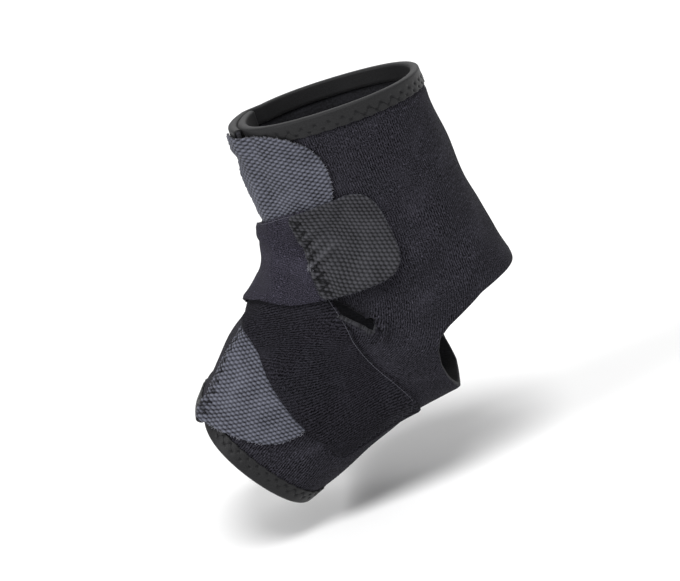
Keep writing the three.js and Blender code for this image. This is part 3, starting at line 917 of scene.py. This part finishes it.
def make_sleeve():
    def flat_at(station, angle):
        rise = WALL / 2 + sleeve_rise(station, angle) + swell(station, angle)
        point, _, _, normal = form_frame(station, angle)
        return point + normal * rise[..., None], normal

    def middle_at(station, angle, puckered=False):
        point, normal = flat_at(station, angle)
        return point + normal * notch_lift(point, puckered)[..., None]

    def keep(angle, station):
        point, _ = flat_at(station, angle)
        return np.minimum(heel_side(point), notch_side(point))

    angle, station, faces = cut_grid(SLEEVE_ANGLES, SLEEVE_ROWS, keep)
    middle = middle_at(station, angle, True)
    along = middle_at(np.minimum(station + 0.01, LAST), angle)
    along -= middle_at(np.maximum(station - 0.01, 0), angle)
    around = middle_at(station, angle + 0.25) - middle_at(station, angle - 0.25)
    facing = unit(np.cross(along, around))
    half = wall_at(station, angle) / 2
    cut_edge = 1 - smooth(keep(angle, station) / CUT_BAND)
    half = half * (1 - CUT_PRESS * cut_edge)
    top = middle + facing * half[:, None]
    bottom = middle - facing * half[:, None]
    uv = np.stack([girth_at(station, angle), run_at(station, angle)], -1)
    materials = (LOOP_CLOTH, LINING, FOAM_EDGE)
    return shell("padded_sleeve", top, bottom, faces, uv, 0.25, materials, flip=True)


sleeve = make_sleeve()
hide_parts("sleeve")


# Edge tapes

TAPE_RADIUS = 38.0
TAPE_STEP = 0.5
SEAM_PITCH = 5.4
SEAM_INNER = 6.1
SEAM_OUTER = 3.1
SEAM_DENT = 0.5
SEAM_PULL = 0.18
SEAM_SUNK = 0.12


def tape_section(near, far):
    """Insets from the rim and heights of the folded tape's section, all the way round it."""
    out = TAPE_GAP + TAPE_THICK
    section = [(TAPE_REACH + 0.3, (near + far) / 2)]
    section += [(x, far) for x in np.linspace(TAPE_REACH, 0.4, 20)]
    section += [(-out * math.sin(t), far * math.cos(t)) for t in np.linspace(0, math.pi, 9)]
    section += [(x, -far) for x in np.linspace(0.4, TAPE_REACH, 6)]
    section += [(TAPE_REACH + 0.3, -(near + far) / 2)]
    section += [(TAPE_REACH, -near), (0.4, -near), (-TAPE_GAP, 0), (0.4, near), (TAPE_REACH, near)]
    return section


def make_tape(name, node, at_top):
    """Tape folded over a rim, pulled in by a zigzag seam."""
    near = EDGE_WALL / 2 + TAPE_GAP
    far = near + TAPE_THICK
    section = tape_section(near, far)
    inset = np.array([p[0] for p in section])[None, :]
    side = np.array([p[1] for p in section])[None, :]
    degree = TAPE_RADIUS * math.pi / 180
    angles = np.arange(WING_START, 360 + FLAP_END, TAPE_STEP)
    angle = angles[:, None] + 0 * inset
    rim = 0.0 if at_top else float(LAST)
    down = 1 if at_top else -1

    def station_in(inset, angle):
        whole = run_at(np.full_like(angle, LAST), angle)
        return station_at_run(inset if at_top else whole - inset, angle)

    station = np.where(inset > 0, station_in(np.maximum(inset, 0) + 0 * angle, angle), rim)
    along = angle * degree
    phase = along / SEAM_PITCH
    dents = np.zeros_like(angle)
    for row, shift in ((SEAM_OUTER, 0.0), (SEAM_INNER, 0.5)):
        off = (phase + shift - np.round(phase + shift)) * SEAM_PITCH
        dents += hill(off / 1.0) * hill((inset - row) / 0.8)
    outside = side > near
    dent = (0.1 * np.sin(along / 7.3) - SEAM_DENT * dents) * outside
    pull = SEAM_PULL * np.cos(2 * math.pi * phase) * smooth((inset - 1) / 4) * outside
    past = (pull - np.maximum(-inset, 0)) * down
    lift = sleeve_rise(np.full_like(angle, rim), angle) + WALL / 2 + side + dent
    points = raised(station, angle, lift, past)
    count, size = angle.shape
    steps = np.hypot(np.diff(inset[0], prepend=inset[0, 0]), np.diff(side[0], prepend=side[0, 0]))
    around = np.broadcast_to(np.cumsum(steps), angle.shape)
    faces = []
    for i in range(count - 1):
        for k in range(size):
            m = (k + 1) % size
            faces.append((i * size + k, i * size + m, (i + 1) * size + m, (i + 1) * size + k))
    faces.append(tuple(reversed(range(size))))
    faces.append(tuple((count - 1) * size + k for k in range(size)))
    uv = np.stack([along, around], -1).reshape(-1, 2)
    tape = cloth_body(name, points.reshape(-1, 3), faces, uv, (TAPE,), flip=at_top)
    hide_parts(node)
    first = math.ceil(WING_START * degree / SEAM_PITCH * 2) + 1
    stops = np.arange(first, math.floor((360 + FLAP_END) * degree / SEAM_PITCH * 2))
    sewn_angle = stops / 2 * SEAM_PITCH / degree
    sewn = station_in(np.where(stops % 2 == 0, SEAM_OUTER, SEAM_INNER), sewn_angle)
    height = sleeve_rise(np.full_like(sewn, rim), sewn_angle) + WALL / 2 + far - SEAM_SUNK
    _, _, _, normals = form_frame(sewn, sewn_angle)
    spans = thread_spans(raised(sewn, sewn_angle, height), normals)
    sew(name + "_seam", spans, 0.34, TAPE_THREAD)


make_tape("top_edge_tape", "rim_binding", True)
make_tape("foot_edge_tape", "foot_binding", False)


# Grip tabs

KNOT_ROW = 1.73
KNOT_STEP = 2.05
KNOT_RISE = 0.34
KNOT_WAVES = (0.85, 0.8, 0.3)
KNOT_SOFT = 3.1
TAB_CELL = 0.36
TAB_MIDDLE = 0.46
SEWN_BLUNT = 14.0
RAGGED = 0.26
# Creases: ahead and aside at both ends, half width, height and paleness, the paleness being a highlight
# painted along the crease top
FRONT_TAB_CREASES = [
    (2, -14, 16, -9, 2.6, 0.5, 0.1),
    (3, 6, 20, 2, 3.0, 0.5, 0.08),
]
STRAP_TAB_CREASES = [
    (0.5, 5.4, 12, -1.2, 1.4, 2.4, 0.8),
    (1, 9.6, 11, 5.5, 1.3, 1.12, 0.28),
    (1, 0.6, 10, -6.5, 1.2, 1.26, 0.31),
    (1, -7, 8, -11.5, 1.2, 0.98, 0.28),
    (22, 10, 30, -4, 3, 0.7, 0.11),
]
TAB_SEAM_NEAR = 1.0
TAB_SEAM_FAR = 4.6
TAB_SEAM_PITCH = 5.2
TAB_SEAM_SIDE = 2.2
SEWN_DEPTH = 0.5
SEWN_SUNK = 0.28


def knots(ahead, aside, turn):
    """Rise of the woven knots between 0 and 1, in offset rows that turn away from the tab."""
    lean = math.radians(turn)
    step = (ahead * math.cos(lean) + aside * math.sin(lean)) / KNOT_STEP
    row = (aside * math.cos(lean) - ahead * math.sin(lean)) / KNOT_ROW
    wave = KNOT_WAVES[0] * np.cos(2 * math.pi * row)
    wave += KNOT_WAVES[1] * np.cos(2 * math.pi * (step - row / 2))
    wave += KNOT_WAVES[2] * np.cos(2 * math.pi * (step + row / 2))
    return smooth(0.5 + wave / KNOT_SOFT)


def tab_keep(start, length, width, blunt):
    """Test for places on a tab: square at its sewn end, rounded at its free one."""
    middle = start + length * TAB_MIDDLE

    def keep(ahead, aside):
        c = ahead - middle
        reach = np.where(c > 0, start + length - middle, middle - start)
        power = np.where(c > 0, blunt, SEWN_BLUNT)
        size = (np.abs(c / reach) ** power + np.abs(aside / (width / 2)) ** power) ** (1 / power)
        ragged = RAGGED * np.sin(ahead * 3.1) * np.sin(aside * 3.6)
        return (1 - size) * width / 2 + ragged

    return keep


def outline_of(keep, start, length, width, count):
    """Lengths ahead and aside of a tab's edge, all the way round."""
    middle = start + length * TAB_MIDDLE
    turn = np.linspace(0, 2 * math.pi, count, endpoint=False)
    low = np.zeros(count)
    high = np.full(count, float(width))
    for _ in range(18):
        r = (low + high) / 2
        inside = keep(middle + r * np.cos(turn), r * np.sin(turn)) > 0
        low = np.where(inside, r, low)
        high = np.where(inside, high, r)
    return middle + low * np.cos(turn), low * np.sin(turn)


def zigzag(first, last, pitch, near, far):
    """Corners of a zigzag seam: across from near to far and back, along from first to last."""
    count = int(round((last - first) / pitch * 2))
    aside = np.linspace(first, last, count + 1)
    ahead = np.where(np.arange(count + 1) % 2 == 0, near, far)
    return ahead, aside


def creases(lines, ahead, aside):
    """Height of rows of soft creases, and their paleness: a highlight painted along each crease top."""
    places = np.stack([ahead, aside], -1)
    rise = np.zeros(np.shape(ahead))
    pale = np.zeros(np.shape(ahead))
    for a1, b1, a2, b2, width, height, tone in lines:
        away, t = away_from_segment(places, np.array([a1, b1]), np.array([a2, b2]))
        shape = hill(away / width) * (1 - 0.6 * t)
        rise += height * shape
        # painted highlight along the crease top
        pale += tone * shape
    return rise, pale


def laid_points(route, start, ahead, aside, lift, over):
    """Places, points and normals at a height over the underside of a laid piece."""
    station, angle = route.place(ahead, aside)
    height = underside(station, angle) + lift(ahead - start, aside) + over
    _, _, _, normals = form_frame(station, angle)
    return station, angle, raised(station, angle, height), normals


def pressed_by_seam(ahead, aside, sewn_ahead, sewn_aside):
    """How far a zigzag thread presses the weave: along its length, and more at its holes."""
    places = np.stack([ahead, aside], -1)
    corners = np.stack([sewn_ahead, sewn_aside], -1)
    pressed = np.zeros_like(ahead)
    for a, b in zip(corners, corners[1:]):
        away, _ = away_from_segment(places, a, b)
        holes = np.hypot(ahead - a[0], aside - a[1])
        pressed = np.maximum(pressed, hill(away / 0.75))
        pressed = np.maximum(pressed, 1.5 * hill(holes / 0.7))
    return pressed


def make_tab(name, node, route, start, size, blunt, turn, material, fibre, fall, lift, lines):
    """Woven grip tab with a zigzag seam and frayed edge, laid on a route from start on."""
    length, width = size
    keep = tab_keep(start, length, width, blunt)
    aheads = np.arange(start - 0.5, start + length + 1, TAB_CELL)
    asides = np.arange(-width / 2 - 0.5, width / 2 + 1, TAB_CELL)
    ahead, aside, faces = cut_grid(aheads, asides, keep)
    station, angle = route.place(ahead, aside)
    height = underside(station, angle) + lift(ahead - start, aside)
    reach = width / 2 - TAB_SEAM_SIDE
    sewn_ahead, sewn_aside = zigzag(-reach, reach, TAB_SEAM_PITCH, TAB_SEAM_NEAR, TAB_SEAM_FAR)
    pressed = pressed_by_seam(ahead, aside, start + sewn_ahead, sewn_aside)
    # weave sets the knots' rise and their tone: pale tops are painted light, dark gaps painted shade
    weave = knots(ahead - start, aside, turn)
    rise = TAB_THICK + KNOT_RISE * (weave - 0.6) - SEWN_DEPTH * pressed
    thin = 1 - 0.35 * (1 - smooth(keep(ahead, aside) / 0.9))
    top = raised(station, angle, height + rise * thin)
    bottom = raised(station, angle, height)
    uv = np.stack([ahead - start, aside], -1)
    # paleness along the creases is a painted highlight
    _, pale = creases(lines, ahead - start, aside)
    # darker along the zigzag seam is painted shade in its dents and holes
    tone = np.clip(weave - 0.55 * pressed + pale, 0, 1.4)
    materials = (material, material, GRIP_EDGE)
    tab = shell(name, top, bottom, faces, uv, 0.18, materials, tone, flip=route.side < 0)
    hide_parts(node)
    over = TAB_THICK - SEWN_SUNK
    _, _, points, normals = laid_points(route, start, start + sewn_ahead, sewn_aside, lift, over)
    sew(name + "_seam", thread_spans(points, normals), 0.36, DARK_THREAD)
    ahead, aside = outline_of(keep, start, length, width, 240)
    station, angle, edge, normals = laid_points(route, start, ahead, aside, lift, TAB_THICK * 0.6)
    fray(name + "_fray", edge, normals, 0.9, 1.1, 0.2, fibre)
    lay(np.stack([station, angle], -1), TAB_THICK, fall)


def front_lift(ahead, aside):
    """Creases and slight unevenness of the front tabs."""
    rise, _ = creases(FRONT_TAB_CREASES, ahead, aside)
    return rise + 0.12 * np.sin(ahead / 4.2 + 1) * np.sin(aside / 5.3) + 0.2


for name, node, stops, turn in (("upper_grip_tab", "upper_hook_tab", UPPER_TAB_ROUTE, -19),
                                ("lower_grip_tab", "lower_hook_tab", LOWER_TAB_ROUTE, -27)):
    make_tab(name, node, Route(stops), 0, (FRONT_TAB, FRONT_TAB), 2.2, turn,
             GREY_GRIP, PALE_FIBRE, 6, front_lift, FRONT_TAB_CREASES)


# Crossed straps

STRAP_SEAM_NEAR = 1.6
STRAP_SEAM_FAR = 3.4
STRAP_SEAM_PITCH = 2.6
STRAP_SEAM_SIDE = 1.5
EDGE_STITCH = 2.1
EDGE_STITCH_INSETS = (0.5, 0.62)
EDGE_STITCH_END = 4
FREE_EDGE_RISE = 5.2
TUFT_FIBRES = 14


def strap_thick(ahead, aside):
    """Thickness of a strap, pressed along its edges and under its end seam."""
    edge = STRAP_WIDTH / 2 - np.abs(aside)
    return STRAP_THICK * (1 - 0.3 * (1 - smooth(edge / 1.5)) - 0.25 * hill((ahead - 2.5) / 1.6))


def make_strap(name, node, route, material, fall, lift):
    """Stretch strap along a route, with its end seam, edge thread and frayed edge."""
    half = STRAP_WIDTH / 2
    aheads = np.linspace(0, 1, 170) ** 1.12 * STRAP_LENGTH
    asides = np.linspace(-half, half, 52)
    ahead, aside, faces = cut_grid(aheads, asides, lambda u, v: np.ones_like(u))
    station, angle = route.place(ahead, aside)
    height = underside(station, angle) + lift(ahead, aside)
    top = raised(station, angle, height + strap_thick(ahead, aside))
    bottom = raised(station, angle, height)
    uv = np.stack([aside, ahead], -1)
    strap = shell(name, top, bottom, faces, uv, 0.2, (material,), flip=route.side < 0)
    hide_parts(node)
    reach = half - STRAP_SEAM_SIDE
    end = zigzag(-reach, reach, STRAP_SEAM_PITCH, STRAP_SEAM_NEAR, STRAP_SEAM_FAR)
    run = np.arange(EDGE_STITCH_END, STRAP_LENGTH - EDGE_STITCH_END, EDGE_STITCH / 2)
    edge = (run, np.where(np.arange(len(run)) % 2 == 0, *EDGE_STITCH_INSETS) - half)
    for part, (ahead, aside), width, thread in (("_end_seam", end, 0.35, DARK_FIBRE),
                                                ("_edge_seam", edge, 0.2, GREY_THREAD)):
        over = strap_thick(ahead, aside)
        _, _, points, normals = laid_points(route, 0, ahead, aside, lift, over)
        sew(name + part, thread_spans(points, normals), width, thread)
    border = [(x, half) for x in np.linspace(0, STRAP_LENGTH, 45)]
    border += [(STRAP_LENGTH, y) for y in np.linspace(half, -half, 10)[1:-1]]
    border += [(x, -half) for x in np.linspace(STRAP_LENGTH, 0, 45)]
    border += [(0, y) for y in np.linspace(-half, half, 10)[1:-1]]
    ahead, aside = np.array(border).T
    station, angle, edge, normals = laid_points(route, 0, ahead, aside, lift, STRAP_THICK * 0.6)
    fray(name + "_fray", edge, normals, 0.45, 0.9, 0.16, DARK_FIBRE)
    lay(np.stack([station, angle], -1), STRAP_THICK, fall)


def under_strap_lift(ahead, aside):
    """Slight unevenness of the strap that lies below."""
    return 0.15 * np.sin(ahead / 9.0 + aside / 6.0)


def over_strap_lift(ahead, aside):
    """Soft pleats where the top strap narrows over the front crease."""
    middle = hill((ahead - 96) / 30)
    pleats = 0.42 * np.sin(aside / 2.6 + ahead / 17) + 0.25 * np.sin(aside / 4.7 - ahead / 11)
    return middle * pleats + 0.2 * middle


def strap_tab_lift(ahead, aside):
    """Creases that start at the sewn side, and the lower edge standing off."""
    rise, _ = creases(STRAP_TAB_CREASES, ahead, aside)
    free = smooth((ahead - 2) / 12) * smooth((aside - 6) / 14)
    return rise + FREE_EDGE_RISE * free + 0.4 * hill(ahead / 5) + 0.15 * np.sin(aside / 3.1 + ahead / 6)


TAB_START = STRAP_LENGTH - STRAP_TAB_LAP
STRAP_SIDES = [
    ("outer_strap", 1, STRAP_CLOTH, under_strap_lift),
    ("inner_strap", -1, LIT_TOP_STRAP_CLOTH, over_strap_lift),
]
for node, side, cloth, lift in STRAP_SIDES:
    make_strap(node + "_band", node, Route(STRAP_ROUTE, side), cloth, 7, lift)
    make_tab(node + "_grip", node + "_tab", Route(STRAP_ROUTE, side), TAB_START,
             (STRAP_TAB_LENGTH, STRAP_WIDTH), 3.4, 26, DARK_GRIP, DARK_FIBRE, 7, strap_tab_lift,
             STRAP_TAB_CREASES)


def make_tuft(route, ahead, aside):
    """Pale fibres that have come loose at the crease of the sewn side."""
    aheads = TAB_START + ahead + CHANCE.uniform(-1.0, 1.0, TUFT_FIBRES)
    asides = aside + CHANCE.uniform(-1.4, 1.4, TUFT_FIBRES)
    station, angle = route.place(aheads, asides)
    height = underside(station, angle) + strap_tab_lift(aheads - TAB_START, asides) + TAB_THICK + 0.1
    points, along, around, normals = form_frame(station, angle)
    points = points + normals * height[:, None]
    spans = []
    for point, a, b, normal in zip(points, unit(along), unit(around), normals):
        lean = a * CHANCE.normal(0, 1) + b * CHANCE.normal(0, 1)
        way = unit(lean + normal * CHANCE.uniform(0.1, 0.6))
        spans.append((point, point + way * CHANCE.uniform(0.6, 1.6), normal))
    sew("loose_fibres", spans, 0.15, PALE_FIBRE)


make_tuft(Route(STRAP_ROUTE, -1), 1.8, 5.2)


# Floor, light and camera

FLOOR_AT = -0.1
FLOOR_SIZE = 40
WORLD_STRENGTH = 0.33
# Lights from far away: name, direction of each, strength, and spread in degrees
SUNS = [
    ("key", (0.6, -0.8, 0.65), 1.6, 26),
    ("top", (0.55, 0.15, 1.0), 1.9, 26),
    ("fill", (0.3, 0.9, 0.6), 0.25, 60),
    ("rim", (-0.9, 0.1, 0.8), 0.8, 60),
]


def make_floor():
    bpy.ops.object.select_all(action="DESELECT")
    bpy.ops.mesh.primitive_plane_add(size=FLOOR_SIZE, location=(0, 0, FLOOR_AT))
    floor = bpy.context.object
    floor.name = "floor"
    floor.data.materials.append(plain_material("pale floor", (0.93, 0.93, 0.93), 0.95, 0.1))


def soft_sun(name, back, strength, spread):
    """Even light from far away on one side, as soft as a large studio screen."""
    light = bpy.data.lights.new(name, "SUN")
    light.energy = strength
    light.angle = math.radians(spread)
    lamp = bpy.data.objects.new(name, light)
    bpy.context.scene.collection.objects.link(lamp)
    lamp.matrix_world = Vector(back).to_track_quat("Z", "Y").to_matrix().to_4x4()


def make_lights():
    """White surroundings: dim as a light, plain white where they are seen behind the floor."""
    world = bpy.data.worlds.new("studio")
    bpy.context.scene.world = world
    world.use_nodes = True
    nodes = world.node_tree.nodes
    links = world.node_tree.links
    dim = nodes["Background"]
    dim.inputs["Color"].default_value = (1, 1, 1, 1)
    dim.inputs["Strength"].default_value = WORLD_STRENGTH
    seen = nodes.new("ShaderNodeBackground")
    seen.inputs["Color"].default_value = (1, 1, 1, 1)
    path = nodes.new("ShaderNodeLightPath")
    mix = nodes.new("ShaderNodeMixShader")
    links.new(path.outputs["Is Camera Ray"], mix.inputs["Fac"])
    links.new(dim.outputs["Background"], mix.inputs[1])
    links.new(seen.outputs["Background"], mix.inputs[2])
    links.new(mix.outputs["Shader"], nodes["World Output"].inputs["Surface"])
    for name, back, strength, spread in SUNS:
        soft_sun(name, back, strength, spread)


CAMERA_TURN = 96
CAMERA_RISE = 15
CAMERA_ROLL = 18.5
CAMERA_AWAY = 1100.0
PICTURE = (680, 581)
PIXELS_PER_MM = 2.15
ORIGIN_AT = (395, 275)
SENSOR = 36


def make_camera():
    """Camera that shows the origin at its place in the picture, at the scale above."""
    a, e, r = (math.radians(x) for x in (CAMERA_TURN, CAMERA_RISE, CAMERA_ROLL))
    back = Vector((math.sin(a) * math.cos(e), -math.cos(a) * math.cos(e), math.sin(e)))
    level_right = (-back).cross(Vector((0, 0, 1))).normalized()
    level_up = level_right.cross(-back)
    right = level_right * math.cos(r) - level_up * math.sin(r)
    up = level_right * math.sin(r) + level_up * math.cos(r)
    shift_x = (ORIGIN_AT[0] - PICTURE[0] / 2) / PIXELS_PER_MM
    shift_y = -(ORIGIN_AT[1] - PICTURE[1] / 2) / PIXELS_PER_MM
    target = -(right * shift_x + up * shift_y)
    data = bpy.data.cameras.new("camera")
    data.sensor_width = SENSOR
    data.lens = PIXELS_PER_MM * CAMERA_AWAY / PICTURE[0] * SENSOR
    data.clip_start = 0.01
    data.clip_end = 20
    camera = bpy.data.objects.new("camera", data)
    bpy.context.scene.collection.objects.link(camera)
    turn = Matrix((right, up, back)).transposed().to_4x4()
    camera.matrix_world = Matrix.Translation((target + back * CAMERA_AWAY) * MM) @ turn
    bpy.context.scene.camera = camera


make_floor()
make_lights()
make_camera()
bpy.context.scene.view_settings.view_transform = "Standard"
